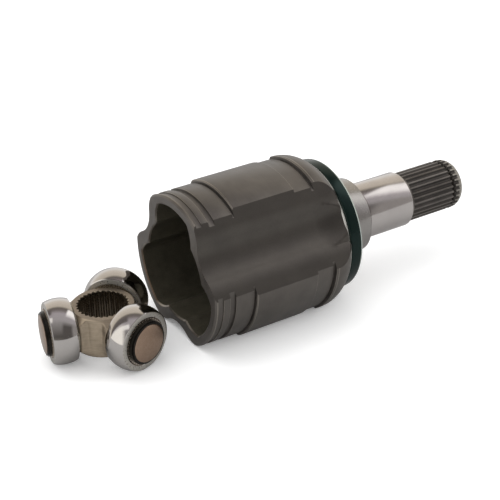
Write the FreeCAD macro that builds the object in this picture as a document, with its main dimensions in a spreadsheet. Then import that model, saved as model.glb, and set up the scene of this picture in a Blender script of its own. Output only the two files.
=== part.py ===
"""Plunging tripod CV joint: tulip housing with its stub shaft, and the tripod lying beside its mouth.

The frame's origin is the centre of the housing's mouth, on the housing's axis.
+X runs from the mouth to the splined end, and +Z is up. All sizes are in millimetres.
The tripod is modelled about its own bore axis, +Z, with its first trunnion along +X,
and is then placed on the surface that the housing lies on.
"""

import FreeCAD, Part
import math
import os

import Sketcher

SIZES = {
    # tripod, which the rest of the joint is built round
    "pitch_r": 22.6,
    "roller_r": 16.8,
    "roller_width": 12.6,
    "roller_bore_chamfer": 0.4,
    "hub_height": 21.8,
    "hub_chamfer": 0.6,
    "hub_wall": 3.15,
    "pad_r": 13.5,
    "pad_flat": 1.0,
    "pad_flare": 2.7,
    "pad_flare_length": 9.0,
    "trunnion_r": 10.65,
    "trunnion_neck": 0.7,
    "trunnion_lip": 0.575,
    "trunnion_chamfer": 0.5,
    "trunnion_dome": 0.5,
    "needle_d": 1.65,
    "needle_count": 42,
    "needle_clearance": 0.03,
    "needle_reach": 0.3,
    "washer_thickness": 0.7,
    "washer_rim": 0.6,
    "axial_gap": 0.05,
    "retainer_thickness": 1.4,
    "retainer_rim": 0.95,
    "snap_thickness": 0.7,
    "snap_depth": 0.7,
    "snap_rim": 0.8,
    "snap_gap_angle": 36.0,
    "bore_tooth": 0.85,
    "bore_teeth": 30,
    # where the tripod lies in front of the mouth
    "tripod_gap": 7.2,
    "tripod_y": 4.6,
    "tripod_turn": -73.0,
    # cavity of the housing
    "track_clearance": 0.25,
    "roof_cut": 4.45,
    "roof_round": 2.0,
    "ridge_wall": 3.8,
    "ridge_round": 1.5,
    "mouth_chamfer": 0.7,
    "floor_wall": 20.1,
    "floor_dish_r": 20.0,
    "floor_dish_depth": 3.0,
    # lobes of the cup, along +X from the mouth
    "cup_length": 84.1,
    "lobe_wall": 5.8,
    "rim_drop": 2.0,
    "rim_chamfer": 1.0,
    "rim_land_width": 1.6,
    "first_groove_width": 3.0,
    "first_groove_depth": 0.6,
    "middle_land_width": 3.9,
    "second_groove_width": 3.3,
    "second_groove_depth": 1.2,
    "clamp_land_width": 10.5,
    "clamp_land_drop": 1.7,
    "relief_width": 1.0,
    "relief_depth": 0.9,
    "body_chamfer": 0.5,
    "back_land_length": 10.0,
    "back_land_depth": 0.8,
    "back_groove_width": 1.5,
    "back_groove_depth": 1.6,
    "back_rim_width": 1.5,
    "flange_length": 11.1,
    "flange_drop": 4.82,
    # forged valleys between the three lobes
    "valley_depth": 10.7,
    "valley_arc_r": 17.0,
    "valley_arc_half": 10.0,
    "valley_flank_rise": 0.2353,
    "valley_fillet": 5.0,
    # turned collar, dust shield seat and shoulder behind the cup
    "collar_drop": 6.8,
    "collar_width": 1.4,
    "seat_step": 1.2,
    "shield_width": 7.0,
    "shield_thickness": 2.87,
    "shield_chamfer": 0.5,
    "shield_overhang": 0.4,
    "shield_fit": 0.02,
    "shoulder_r": 20.4,
    "shoulder_length": 17.6,
    "shoulder_fillet": 2.0,
    "cone_length": 3.3,
    # stub shaft
    "journal_r": 15.43,
    "journal_length": 30.1,
    "journal_chamfer": 1.0,
    "neck_length": 1.1,
    "spline_drop": 1.43,
    "spline_tooth": 1.1,
    "spline_teeth": 28,
    "spline_length": 36.6,
    "nose_length": 5.4,
    "nose_drop": 3.385,
    "clip_to_end": 7.6,
    "clip_groove_width": 1.9,
    "clip_groove_depth": 2.0,
    "clip_wire": 1.7,
    "clip_gap_angle": 70.0,
    "clip_turn": 195.0,
}

LOBES = 3
FLANK_SLOPE = 0.6  # tooth flanks widen by this much for each unit of radius
OVERSHOOT = 3.0  # how far a cutting outline runs past the surface that it opens

doc = FreeCAD.newDocument("TripodJoint")
sheet = doc.addObject("Spreadsheet::Sheet", "Sizes")


class Size:
    """A size of the model: its number, and the sheet expression that keeps it up to date."""

    def __init__(self, value, text):
        self.value = float(value)
        self.text = text

    def __add__(self, other):
        other = size(other)
        return Size(self.value + other.value, f"({self.text} + {other.text})")

    def __sub__(self, other):
        other = size(other)
        return Size(self.value - other.value, f"({self.text} - {other.text})")

    def __mul__(self, other):
        other = size(other)
        return Size(self.value * other.value, f"({self.text} * {other.text})")

    def __truediv__(self, other):
        other = size(other)
        return Size(self.value / other.value, f"({self.text} / {other.text})")

    def __neg__(self):
        return Size(-self.value, f"(0 - {self.text})")

    def __radd__(self, other):
        return size(other) + self

    def __rsub__(self, other):
        return size(other) - self

    def __rmul__(self, other):
        return size(other) * self


class Sheet:
    """Every named size as an attribute, and the sizes that follow from them."""

    def __getattr__(self, name):
        return Size(SIZES[name], f"Sizes.{name}")

    # tripod
    @property
    def hub_r(self):
        return self.pitch_r - self.roller_width / 2

    @property
    def pad_face(self):
        return self.hub_r - self.pad_flat

    @property
    def neck_r(self):
        return self.trunnion_r - self.trunnion_neck

    @property
    def bore_root_r(self):
        return self.hub_r - self.hub_wall

    @property
    def bore_tip_r(self):
        return self.bore_root_r - self.bore_tooth

    # cavity and cup
    @property
    def track_r(self):
        return self.roller_r + self.track_clearance

    @property
    def roof_r(self):
        return self.pitch_r + self.track_r - self.roof_cut

    @property
    def body_r(self):
        return self.roof_r + self.lobe_wall

    @property
    def rim_r(self):
        return self.body_r - self.rim_drop

    @property
    def clamp_land_r(self):
        return self.body_r - self.clamp_land_drop

    @property
    def valley_floor_r(self):
        return self.body_r - self.valley_depth

    @property
    def ridge_r(self):
        return self.valley_floor_r - self.ridge_wall

    @property
    def cavity_depth(self):
        return self.cup_length - self.floor_wall

    # collar, dust shield and stub shaft
    @property
    def collar_r(self):
        return self.body_r - self.collar_drop

    @property
    def shield_seat_r(self):
        return self.collar_r - self.seat_step

    @property
    def shield_r(self):
        return self.shield_seat_r + self.shield_thickness

    @property
    def collar_end(self):
        return self.cup_length + self.collar_width

    @property
    def shield_end(self):
        return self.collar_end + self.shield_width

    @property
    def cone_start(self):
        return self.shield_end + self.shoulder_length

    @property
    def journal_end(self):
        return self.cone_start + self.cone_length + self.journal_length

    @property
    def spline_start(self):
        return self.journal_end + self.neck_length

    @property
    def stub_end(self):
        return self.spline_start + self.spline_length

    @property
    def spline_r(self):
        return self.journal_r - self.spline_drop

    @property
    def spline_root_r(self):
        return self.spline_r - self.spline_tooth

    @property
    def clip_groove_r(self):
        return self.spline_r - self.clip_groove_depth

    @property
    def clip_groove_x(self):
        return self.stub_end - self.clip_to_end


def size(thing):
    """A Size from a Size or a plain number."""
    return thing if isinstance(thing, Size) else Size(thing, repr(float(thing)))


def root(thing):
    """The square root of a Size."""
    return Size(math.sqrt(thing.value), f"sqrt({thing.text})")


s = Sheet()


def fill_sheet():
    """Write every named size into its own cell, as text, with its name as the alias."""
    for row, (name, value) in enumerate(SIZES.items(), start=1):
        sheet.set(f"A{row}", name)
        sheet.set(f"B{row}", str(value))
        sheet.setAlias(f"B{row}", name)
    doc.recompute()


# --- helpers that every sub-part uses -----------------------------------------------------------


def new_body(label):
    body = doc.addObject("PartDesign::Body", label)
    body.Label = label
    return body


def origin_feature(body, role):
    """The body's own origin plane or axis with that role, such as XY_Plane."""
    for feature in body.Origin.OriginFeatures:
        if feature.Role == role:
            return feature
    raise ValueError(role)


def new_sketch(body, name, plane, offset=None):
    """A sketch on one of the body's origin planes, moved along the plane's normal by offset."""
    sketch = body.newObject("Sketcher::SketchObject", name)
    sketch.AttachmentSupport = [(origin_feature(body, plane), "")]
    sketch.MapMode = "FlatFace"
    if offset is not None:
        sketch.AttachmentOffset = FreeCAD.Placement(
            FreeCAD.Vector(0, 0, offset.value), FreeCAD.Rotation()
        )
        sketch.setExpression("AttachmentOffset.Base.z", offset.text)
    return sketch


def constrain(sketch, kind, *where):
    """Add a constraint whose last entry is a Size, and bind it to the sheet."""
    target = where[-1]
    index = sketch.addConstraint(Sketcher.Constraint(kind, *where[:-1], target.value))
    sketch.setExpression(f"Constraints[{index}]", target.text)


def place_point(sketch, geometry, end, x, y):
    """Hold one point of the sketch at (x, y) from the sketch's origin."""
    for kind, value in (("DistanceX", x), ("DistanceY", y)):
        if value.value < 0:
            constrain(sketch, kind, geometry, end, -1, 1, -value)
        else:
            constrain(sketch, kind, -1, 1, geometry, end, value)


def short_arc(start, finish, radius, way):
    """The arc of that radius from start to finish that is shorter than half a turn."""
    chord = finish - start
    rise = math.sqrt(radius**2 - chord.Length**2 / 4)
    across = FreeCAD.Vector(-chord.y, chord.x, 0).normalize()
    side = 1 if way == "ccw" else -1
    centre = start + chord * 0.5 + across * (side * rise)
    circle = Part.Circle(centre, FreeCAD.Vector(0, 0, 1), radius)
    angles = [math.atan2(p.y - centre.y, p.x - centre.x) for p in (start, finish)]
    if way == "cw":
        angles.reverse()
    return Part.ArcOfCircle(circle, *angles)


def closed_outline(sketch, points):
    """A closed outline: each entry is (x, y), or (x, y, radius, way) where an arc ends there.

    The arc is shorter than half a turn, and way is cw or ccw.
    """
    points = [(size(p[0]), size(p[1]), *p[2:]) for p in points]
    corners = [FreeCAD.Vector(p[0].value, p[1].value, 0) for p in points]
    count = len(points)
    ends = []
    for i in range(count):
        j = (i + 1) % count
        if len(points[j]) == 2:
            sketch.addGeometry(Part.LineSegment(corners[i], corners[j]), False)
            ends.append((1, 2))
        else:
            radius, way = size(points[j][2]), points[j][3]
            sketch.addGeometry(short_arc(corners[i], corners[j], radius.value, way), False)
            ends.append((1, 2) if way == "ccw" else (2, 1))
    for i in range(count):
        j = (i + 1) % count
        sketch.addConstraint(Sketcher.Constraint("Coincident", i, ends[i][1], j, ends[j][0]))
        place_point(sketch, i, ends[i][0], points[i][0], points[i][1])
        if len(points[j]) > 2:
            constrain(sketch, "Radius", i, size(points[j][2]))


def circle_outline(sketch, radius):
    """A circle about the sketch's origin."""
    radius = size(radius)
    normal = FreeCAD.Vector(0, 0, 1)
    index = sketch.addGeometry(Part.Circle(FreeCAD.Vector(), normal, radius.value), False)
    sketch.addConstraint(Sketcher.Constraint("Coincident", index, 3, -1, 1))
    constrain(sketch, "Radius", index, radius)


def revolve(body, name, sketch, angle=None):
    """Turn a sketch of the XZ plane round the body's X axis: all the way, or as far as angle."""
    feature = body.newObject("PartDesign::Revolution", name)
    feature.Profile = sketch
    feature.ReferenceAxis = (sketch, ["H_Axis"])
    feature.Angle = 360.0
    if angle is not None:
        feature.Midplane = True
        feature.setExpression("Angle", angle.text)
    return feature


def groove(body, name, sketch, axis="H_Axis"):
    """Turn a sketch round its own horizontal or upright axis, and cut what it sweeps."""
    feature = body.newObject("PartDesign::Groove", name)
    feature.Profile = sketch
    feature.ReferenceAxis = (sketch, [axis])
    feature.Angle = 360.0
    return feature


def pad(body, name, sketch, length, both_ways=False):
    feature = body.newObject("PartDesign::Pad", name)
    feature.Profile = sketch
    feature.setExpression("Length", size(length).text)
    feature.Midplane = both_ways
    return feature


def pocket(body, name, sketch, depth=None, along_normal=True):
    """Cut a sketch into the body, along the sketch's normal or both ways through everything."""
    feature = body.newObject("PartDesign::Pocket", name)
    feature.Profile = sketch
    if depth is None:
        feature.Type = "ThroughAll"
        feature.Midplane = True
    else:
        feature.setExpression("Length", size(depth).text)
        feature.Reversed = along_normal
    return feature


def pattern(body, name, features, axis, count):
    """Repeat features round one of the body's axes, a whole turn."""
    feature = body.newObject("PartDesign::PolarPattern", name)
    feature.Originals = features
    feature.Axis = (origin_feature(body, axis), [""])
    feature.Angle = 360.0
    feature.setExpression("Occurrences", size(count).text)
    body.Tip = feature
    return feature


def dress(body, name, kind, wanted, amount):
    """A fillet or chamfer on the edges of the body's tip for which wanted(edge) holds."""
    doc.recompute()
    base = body.Tip
    edges = [
        f"Edge{i}" for i, edge in enumerate(base.Shape.Edges, start=1) if wanted(edge)
    ]
    if not edges:
        raise ValueError(f"{name} finds no edge")
    feature = body.newObject(f"PartDesign::{kind}", name)
    feature.Base = (base, edges)
    feature.setExpression("Radius" if kind == "Fillet" else "Size", size(amount).text)
    body.Tip = feature
    return feature


def check_cut(body, before, name):
    """A cut that points away from the solid removes nothing and shows no error."""
    doc.recompute()
    if body.Shape.Volume > before - 1.0:
        raise ValueError(f"{name} cuts nothing")
    return body.Shape.Volume


# --- tulip housing ------------------------------------------------------------------------------


def bulge_r(run, drop):
    """Radius of the arc that starts along a run and has left it by drop at the run's end."""
    return (run * run + drop * drop) / (2 * drop)


def cup_outline():
    """Half of the cup's section, from the mouth's centre round the outside to its back face."""
    rim = s.rim_r
    body = s.body_r
    first_groove = s.rim_land_width
    middle_land = first_groove + s.first_groove_width
    second_groove = middle_land + s.middle_land_width
    clamp_land = second_groove + s.second_groove_width
    relief = clamp_land + s.clamp_land_width
    relief_end = relief + s.relief_width
    cup_end = s.cup_length
    flange = cup_end - s.flange_length
    back_rim = flange - s.back_rim_width
    back_groove = back_rim - s.back_groove_width
    back_land = back_groove - s.back_land_length
    return [
        (0, 0),
        (0, rim - s.rim_chamfer),
        (s.rim_chamfer, rim),
        (first_groove, rim),
        (first_groove, rim - s.first_groove_depth),
        (middle_land, rim - s.first_groove_depth),
        (middle_land, rim),
        (second_groove, rim),
        (second_groove, rim - s.second_groove_depth),
        (clamp_land, rim - s.second_groove_depth),
        (clamp_land, s.clamp_land_r),
        (relief, s.clamp_land_r),
        (relief, s.clamp_land_r - s.relief_depth),
        (relief_end, s.clamp_land_r - s.relief_depth),
        (relief_end, body - s.body_chamfer),
        (relief_end + s.body_chamfer, body),
        (back_land, body),
        (back_land, body - s.back_land_depth),
        (back_groove, body - s.back_land_depth),
        (back_groove, body - s.back_groove_depth),
        (back_rim, body - s.back_groove_depth),
        (back_rim, body),
        (flange, body),
        (cup_end, body - s.flange_drop, bulge_r(s.flange_length, s.flange_drop), "cw"),
        (cup_end, 0),
    ]


def stub_outline():
    """Half of the section behind the cup: collar, shield seat, shoulder, journal and spline."""
    journal = s.journal_r
    clip_start = s.clip_groove_x - s.clip_groove_width / 2
    clip_end = s.clip_groove_x + s.clip_groove_width / 2
    shoulder_start = s.shield_end - s.shield_overhang
    return [
        (s.cup_length, 0),
        (s.cup_length, s.collar_r),
        (s.collar_end, s.collar_r),
        (s.collar_end, s.shield_seat_r),
        (shoulder_start, s.shield_seat_r),
        (shoulder_start, s.shoulder_r + s.shoulder_fillet),
        (shoulder_start + s.shoulder_fillet, s.shoulder_r, s.shoulder_fillet, "ccw"),
        (s.cone_start, s.shoulder_r),
        (s.cone_start + s.cone_length, journal),
        (s.journal_end - s.journal_chamfer, journal),
        (s.journal_end, journal - s.journal_chamfer),
        (s.journal_end, s.spline_r),
        (clip_start, s.spline_r),
        (clip_start, s.clip_groove_r),
        (clip_end, s.clip_groove_r),
        (clip_end, s.spline_r),
        (s.stub_end - s.nose_length, s.spline_r),
        (s.stub_end, s.spline_r - s.nose_drop, bulge_r(s.nose_length, s.nose_drop), "cw"),
        (s.stub_end, 0),
    ]


def valley_arc_end():
    """How far from the axis, up the valley's middle line, its hollow meets its two flanks."""
    return s.valley_floor_r + s.valley_arc_r - root(
        s.valley_arc_r * s.valley_arc_r - s.valley_arc_half * s.valley_arc_half
    )


def valley_outline():
    """What the forging leaves out between two lobes, below the axis: a hollow with two flanks."""
    arc_end = valley_arc_end()
    flank_run = s.valley_arc_r
    flank_half = s.valley_arc_half + flank_run
    flank_end = arc_end + flank_run * s.valley_flank_rise
    outside = s.body_r + s.valley_arc_r
    return [
        (s.valley_arc_half, -arc_end),
        (-s.valley_arc_half, -arc_end, s.valley_arc_r, "ccw"),
        (-flank_half, -flank_end),
        (-flank_half, -outside),
        (flank_half, -outside),
        (flank_half, -flank_end),
    ]


def track_outline(sketch):
    """One track's section, above the axis: a round track closed by the roof of its lobe."""
    track_r = s.track_r
    pitch, roof = s.pitch_r.value, s.roof_r.value
    top = (roof**2 + pitch**2 - track_r.value**2) / (2 * pitch)
    half = math.sqrt(roof**2 - top**2)
    normal = FreeCAD.Vector(0, 0, 1)
    track = Part.Circle(FreeCAD.Vector(0, pitch, 0), normal, track_r.value)
    cover = Part.Circle(FreeCAD.Vector(), normal, roof)
    right = math.atan2(top - pitch, half)
    left = math.atan2(top - pitch, -half)
    sketch.addGeometry(Part.ArcOfCircle(track, left, right + 2 * math.pi), False)
    sketch.addGeometry(Part.ArcOfCircle(cover, math.atan2(top, half), math.atan2(top, -half)), False)
    sketch.addConstraint(Sketcher.Constraint("Coincident", 0, 1, 1, 2))
    sketch.addConstraint(Sketcher.Constraint("Coincident", 0, 2, 1, 1))
    sketch.addConstraint(Sketcher.Constraint("Coincident", 1, 3, -1, 1))
    sketch.addConstraint(Sketcher.Constraint("PointOnObject", 0, 3, -2))
    constrain(sketch, "DistanceY", -1, 1, 0, 3, s.pitch_r)
    constrain(sketch, "Radius", 0, track_r)
    constrain(sketch, "Radius", 1, s.roof_r)


def tooth_space(pitch_r, from_r, to_r, teeth, flank):
    """The gap between two spline teeth, above the axis, half a pitch wide on the pitch circle."""
    half_pitch = math.pi / 2 * pitch_r / teeth
    half_from = half_pitch + flank * (from_r - pitch_r)
    half_to = half_pitch + flank * (to_r - pitch_r)
    return [(half_from, from_r), (half_to, to_r), (-half_to, to_r), (-half_from, from_r)]


def edge_runs_along_x(edge):
    box = edge.BoundBox
    return box.XLength > 10 and box.YLength < 0.01 and box.ZLength < 0.01


def distance_from_axis(edge):
    centre = edge.BoundBox.Center
    return math.hypot(centre.y, centre.z)


def near(a, b, allowance=0.05):
    return abs(a - b) < allowance


def lies_on_mouth(face):
    return near(face.BoundBox.XMin, 0) and near(face.BoundBox.XMax, 0)


def make_housing():
    """The forged tulip: a turned cup with three valleys, the stub behind it, and its cavity."""
    body = new_body("tulip_housing")
    turned_cup = new_sketch(body, "CupOutline", "XZ_Plane")
    closed_outline(turned_cup, cup_outline())
    revolve(body, "TurnedCup", turned_cup)
    doc.recompute()
    volume = body.Shape.Volume

    valley = new_sketch(body, "ValleyOutline", "YZ_Plane", -size(OVERSHOOT))
    closed_outline(valley, valley_outline())
    cut = pocket(body, "Valley", valley, s.cup_length + OVERSHOOT)
    pattern(body, "Valleys", [cut], "X_Axis", LOBES)
    check_cut(body, volume, "Valleys")
    arc_end = math.hypot(s.valley_arc_half.value, valley_arc_end().value)
    dress(
        body,
        "ValleyRounds",
        "Fillet",
        lambda edge: edge_runs_along_x(edge) and near(distance_from_axis(edge), arc_end),
        s.valley_fillet,
    )
    turned_stub = new_sketch(body, "StubOutline", "XZ_Plane")
    closed_outline(turned_stub, stub_outline())
    revolve(body, "TurnedStub", turned_stub)
    doc.recompute()
    volume = body.Shape.Volume

    hollow = new_sketch(body, "HollowOutline", "YZ_Plane", -size(OVERSHOOT))
    circle_outline(hollow, s.ridge_r)
    pocket(body, "Hollow", hollow, s.cavity_depth + OVERSHOOT)
    volume = check_cut(body, volume, "Hollow")
    track = new_sketch(body, "TrackOutline", "YZ_Plane", -size(OVERSHOOT))
    track_outline(track)
    cut = pocket(body, "Track", track, s.cavity_depth + OVERSHOOT)
    pattern(body, "Tracks", [cut], "X_Axis", LOBES)
    volume = check_cut(body, volume, "Tracks")
    dress(
        body,
        "RidgeRounds",
        "Fillet",
        lambda edge: edge_runs_along_x(edge) and near(distance_from_axis(edge), s.ridge_r.value),
        s.ridge_round,
    )
    dress(
        body,
        "RoofRounds",
        "Fillet",
        lambda edge: edge_runs_along_x(edge) and near(distance_from_axis(edge), s.roof_r.value),
        s.roof_round,
    )
    dish = new_sketch(body, "DishOutline", "XZ_Plane")
    dish_r = bulge_r(s.floor_dish_r, s.floor_dish_depth)
    closed_outline(
        dish,
        [
            (s.cavity_depth - OVERSHOOT, 0),
            (s.cavity_depth - OVERSHOOT, s.floor_dish_r),
            (s.cavity_depth, s.floor_dish_r),
            (s.cavity_depth + s.floor_dish_depth, 0, dish_r, "cw"),
        ],
    )
    groove(body, "Dish", dish)
    volume = check_cut(body, volume, "Dish")

    mouth = next(face for face in body.Tip.Shape.Faces if lies_on_mouth(face))
    inner = [
        edge
        for wire in mouth.Wires
        if not wire.isSame(mouth.OuterWire)
        for edge in wire.Edges
    ]
    dress(
        body,
        "MouthChamfer",
        "Chamfer",
        lambda edge: any(edge.isSame(other) for other in inner),
        s.mouth_chamfer,
    )

    spline = new_sketch(body, "SplineSpace", "YZ_Plane", s.spline_start)
    pitch_r = (s.spline_r + s.spline_root_r) / 2
    closed_outline(
        spline,
        tooth_space(pitch_r, s.spline_root_r, s.spline_r + 1, s.spline_teeth, FLANK_SLOPE),
    )
    cut = pocket(body, "SplineCut", spline, s.spline_length + OVERSHOOT)
    pattern(body, "SplineCuts", [cut], "X_Axis", s.spline_teeth)
    check_cut(body, volume, "SplineCuts")
    return body


def make_ring(label, x_start, x_end, inner_r, outer_r, chamfer=None, gap_angle=None):
    """A plain ring about +X, with its outer corners chamfered, or open where it has a gap."""
    body = new_body(label)
    section = new_sketch(body, "Section", "XZ_Plane")
    if chamfer is None:
        points = [(x_start, inner_r), (x_start, outer_r), (x_end, outer_r), (x_end, inner_r)]
    else:
        points = [
            (x_start, inner_r),
            (x_start, outer_r - chamfer),
            (x_start + chamfer, outer_r),
            (x_end - chamfer, outer_r),
            (x_end, outer_r - chamfer),
            (x_end, inner_r),
        ]
    closed_outline(section, points)
    revolve(body, "Ring", section, None if gap_angle is None else 360 - gap_angle)
    return body


def make_dust_shield():
    """The deflector ring pressed on the seat behind the cup."""
    return make_ring(
        "dust_shield",
        s.collar_end,
        s.shield_end,
        s.shield_seat_r + s.shield_fit,
        s.shield_r,
        s.shield_chamfer,
    )


def make_stub_circlip():
    """The round-wire snap ring in the stub's end groove, open for part of a turn."""
    body = new_body("stub_circlip")
    section = new_sketch(body, "WireSection", "XZ_Plane")
    radius = s.clip_wire / 2
    ring_r = s.clip_groove_r + s.clip_wire / 2 + s.shield_fit
    normal = FreeCAD.Vector(0, 0, 1)
    centre = FreeCAD.Vector(s.clip_groove_x.value, ring_r.value, 0)
    section.addGeometry(Part.Circle(centre, normal, radius.value), False)
    constrain(section, "DistanceX", -1, 1, 0, 3, s.clip_groove_x)
    constrain(section, "DistanceY", -1, 1, 0, 3, ring_r)
    constrain(section, "Radius", 0, radius)
    revolve(body, "Wire", section, 360 - s.clip_gap_angle)
    body.Placement = FreeCAD.Placement(FreeCAD.Vector(), FreeCAD.Vector(1, 0, 0), s.clip_turn.value)
    body.setExpression("Placement.Rotation.Angle", s.clip_turn.text)
    return body


# --- tripod -------------------------------------------------------------------------------------


def needle_track():
    """Radius of the circle that the needles' centres lie on."""
    return s.trunnion_r + s.needle_clearance + s.needle_d / 2


def roller_bore():
    return s.trunnion_r + s.needle_d + 2 * s.needle_clearance


def washer_end():
    return s.pad_face + s.axial_gap + s.washer_thickness


def needle_end():
    """The needles reach a little past the roller's outer face."""
    return s.pitch_r + s.roller_width / 2 + s.needle_reach


def retainer_end():
    return needle_end() + s.axial_gap + s.retainer_thickness


def snap_groove_start():
    return retainer_end() + s.axial_gap / 2


def snap_groove_end():
    return snap_groove_start() + s.snap_thickness + s.axial_gap


def trunnion_end():
    return snap_groove_end() + s.trunnion_lip


def trunnion_outline():
    """Half of a trunnion's section, with the snap ring's groove and a slightly domed end."""
    groove_start = snap_groove_start()
    groove_end = snap_groove_end()
    groove_r = s.neck_r - s.snap_depth
    rim = s.neck_r - s.trunnion_chamfer
    end = trunnion_end()
    return [
        (0, 0),
        (0, s.trunnion_r),
        (needle_end(), s.trunnion_r),
        (needle_end(), s.neck_r),
        (groove_start, s.neck_r),
        (groove_start, groove_r),
        (groove_end, groove_r),
        (groove_end, s.neck_r),
        (end - s.trunnion_chamfer, s.neck_r),
        (end, rim),
        (end + s.trunnion_dome, 0, bulge_r(rim, s.trunnion_dome), "cw"),
    ]


def pad_outline():
    """Half of a pad's section: its side flares inwards to blend with the hub and its neighbours."""
    flare_start = s.pad_face - s.pad_flare_length
    return [
        (0, 0),
        (0, s.pad_r + s.pad_flare),
        (flare_start, s.pad_r + s.pad_flare),
        (s.pad_face, s.pad_r),
        (s.pad_face, 0),
    ]


def hub_end_outline(side):
    """What is turned off the hub's corner at one end, as a triangle on a slope of 45 degrees."""
    end = s.hub_height / 2 + OVERSHOOT
    inner = s.hub_r - s.hub_chamfer - OVERSHOOT
    outer = s.pad_r + s.pad_r
    return [
        (inner, end * side),
        (outer, end * side),
        (outer, (end - (outer - inner)) * side),
    ]


def make_spider():
    """The tripod's forged spider: a splined hub with three pads and three ground trunnions."""
    body = new_body("spider")
    hub = new_sketch(body, "HubOutline", "XY_Plane")
    circle_outline(hub, s.hub_r)
    pad(body, "Hub", hub, s.hub_height, both_ways=True)
    pad_sketch = new_sketch(body, "PadOutline", "XZ_Plane")
    closed_outline(pad_sketch, pad_outline())
    seat = revolve(body, "Pad", pad_sketch)
    pattern(body, "Pads", [seat], "Z_Axis", LOBES)
    doc.recompute()
    volume = body.Shape.Volume
    for name, side in (("Top", 1), ("Bottom", -1)):
        end = new_sketch(body, f"{name}Plane", "XY_Plane", side * s.hub_height / 2)
        circle_outline(end, 2 * s.pad_r)
        pocket(body, f"{name}Face", end, s.hub_height, along_normal=side > 0)
        volume = check_cut(body, volume, f"{name}Face")
        corner = new_sketch(body, f"{name}Corner", "XZ_Plane")
        closed_outline(corner, hub_end_outline(side))
        groove(body, f"{name}Chamfer", corner, "V_Axis")
        volume = check_cut(body, volume, f"{name}Chamfer")
    face_sketch = new_sketch(body, "FaceOutline", "YZ_Plane", s.pad_face)
    closed_outline(
        face_sketch,
        [
            (-s.hub_r, -s.hub_height),
            (s.hub_r, -s.hub_height),
            (s.hub_r, s.hub_height),
            (-s.hub_r, s.hub_height),
        ],
    )
    face = pocket(body, "Face", face_sketch, s.hub_r)
    pattern(body, "Faces", [face], "Z_Axis", LOBES)
    check_cut(body, volume, "Faces")
    trunnion_sketch = new_sketch(body, "TrunnionOutline", "XZ_Plane")
    closed_outline(trunnion_sketch, trunnion_outline())
    trunnion = revolve(body, "Trunnion", trunnion_sketch)
    pattern(body, "Trunnions", [trunnion], "Z_Axis", LOBES)
    doc.recompute()
    volume = body.Shape.Volume

    bore = new_sketch(body, "BoreOutline", "XY_Plane")
    circle_outline(bore, s.bore_tip_r)
    pocket(body, "Bore", bore)
    volume = check_cut(body, volume, "Bore")
    space = new_sketch(body, "BoreSpace", "XY_Plane")
    pitch_r = (s.bore_tip_r + s.bore_root_r) / 2
    closed_outline(
        space,
        tooth_space(pitch_r, s.bore_tip_r - 1, s.bore_root_r, s.bore_teeth, -FLANK_SLOPE),
    )
    cut = pocket(body, "BoreSpaceCut", space)
    pattern(body, "BoreTeeth", [cut], "Z_Axis", s.bore_teeth)
    check_cut(body, volume, "BoreTeeth")
    return body


def make_roller(label):
    """A roller about +X: a round bore, flat faces and an outside that is part of a sphere."""
    body = new_body(label)
    half = s.roller_width / 2
    bore = roller_bore()
    chamfer = s.roller_bore_chamfer
    face_r = root(s.roller_r * s.roller_r - half * half)
    section = new_sketch(body, "Section", "XZ_Plane")
    closed_outline(
        section,
        [
            (s.pitch_r - half + chamfer, bore),
            (s.pitch_r - half, bore + chamfer),
            (s.pitch_r - half, face_r),
            (s.pitch_r + half, face_r, s.roller_r, "cw"),
            (s.pitch_r + half, bore + chamfer),
            (s.pitch_r + half - chamfer, bore),
        ],
    )
    revolve(body, "Roller", section)
    return body


def make_needles(label):
    """One roller's needles, as separate solids in a ring about +X."""
    start = washer_end() + s.axial_gap
    length = (needle_end() - start).value
    count = SIZES["needle_count"]
    needles = []
    for i in range(count):
        angle = 2 * math.pi * i / count
        centre = FreeCAD.Vector(
            start.value,
            needle_track().value * math.cos(angle),
            needle_track().value * math.sin(angle),
        )
        along = FreeCAD.Vector(1, 0, 0)
        needles.append(Part.makeCylinder(s.needle_d.value / 2, length, centre, along))
    group = doc.addObject("Part::Feature", label)
    group.Label = label
    group.Shape = Part.makeCompound(needles)
    return group


def place_on_trunnion(piece, index):
    """Put a tripod piece where the tripod lies, turned to its own trunnion."""
    turn = s.tripod_turn + index * 360 / LOBES
    along = -(trunnion_end() + s.tripod_gap)
    height = s.roller_r - s.shield_r
    where = FreeCAD.Vector(along.value, s.tripod_y.value, height.value)
    piece.Placement = FreeCAD.Placement(where, FreeCAD.Vector(0, 0, 1), turn.value)
    piece.setExpression("Placement.Base.x", along.text)
    piece.setExpression("Placement.Base.y", s.tripod_y.text)
    piece.setExpression("Placement.Base.z", height.text)
    piece.setExpression("Placement.Rotation.Angle", turn.text)
    return piece


def make_trunnion_set(index):
    """Everything that one trunnion carries, from the hub outwards."""
    number = index + 1
    over_trunnion = s.trunnion_r + s.needle_clearance
    snap_start = retainer_end() + s.axial_gap
    pieces = [
        make_ring(
            f"inner_washer_{number}",
            s.pad_face + s.axial_gap,
            washer_end(),
            over_trunnion,
            roller_bore() + s.washer_rim,
        ),
        make_needles(f"needles_{number}"),
        make_roller(f"roller_{number}"),
        make_ring(
            f"outer_retainer_{number}",
            needle_end() + s.axial_gap,
            retainer_end(),
            s.neck_r + s.needle_clearance,
            roller_bore() - s.retainer_rim,
        ),
        make_ring(
            f"snap_ring_{number}",
            snap_start,
            snap_start + s.snap_thickness,
            s.neck_r - s.snap_depth + s.needle_clearance,
            s.neck_r + s.snap_rim,
            gap_angle=s.snap_gap_angle,
        ),
    ]
    return [place_on_trunnion(piece, index) for piece in pieces]


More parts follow.
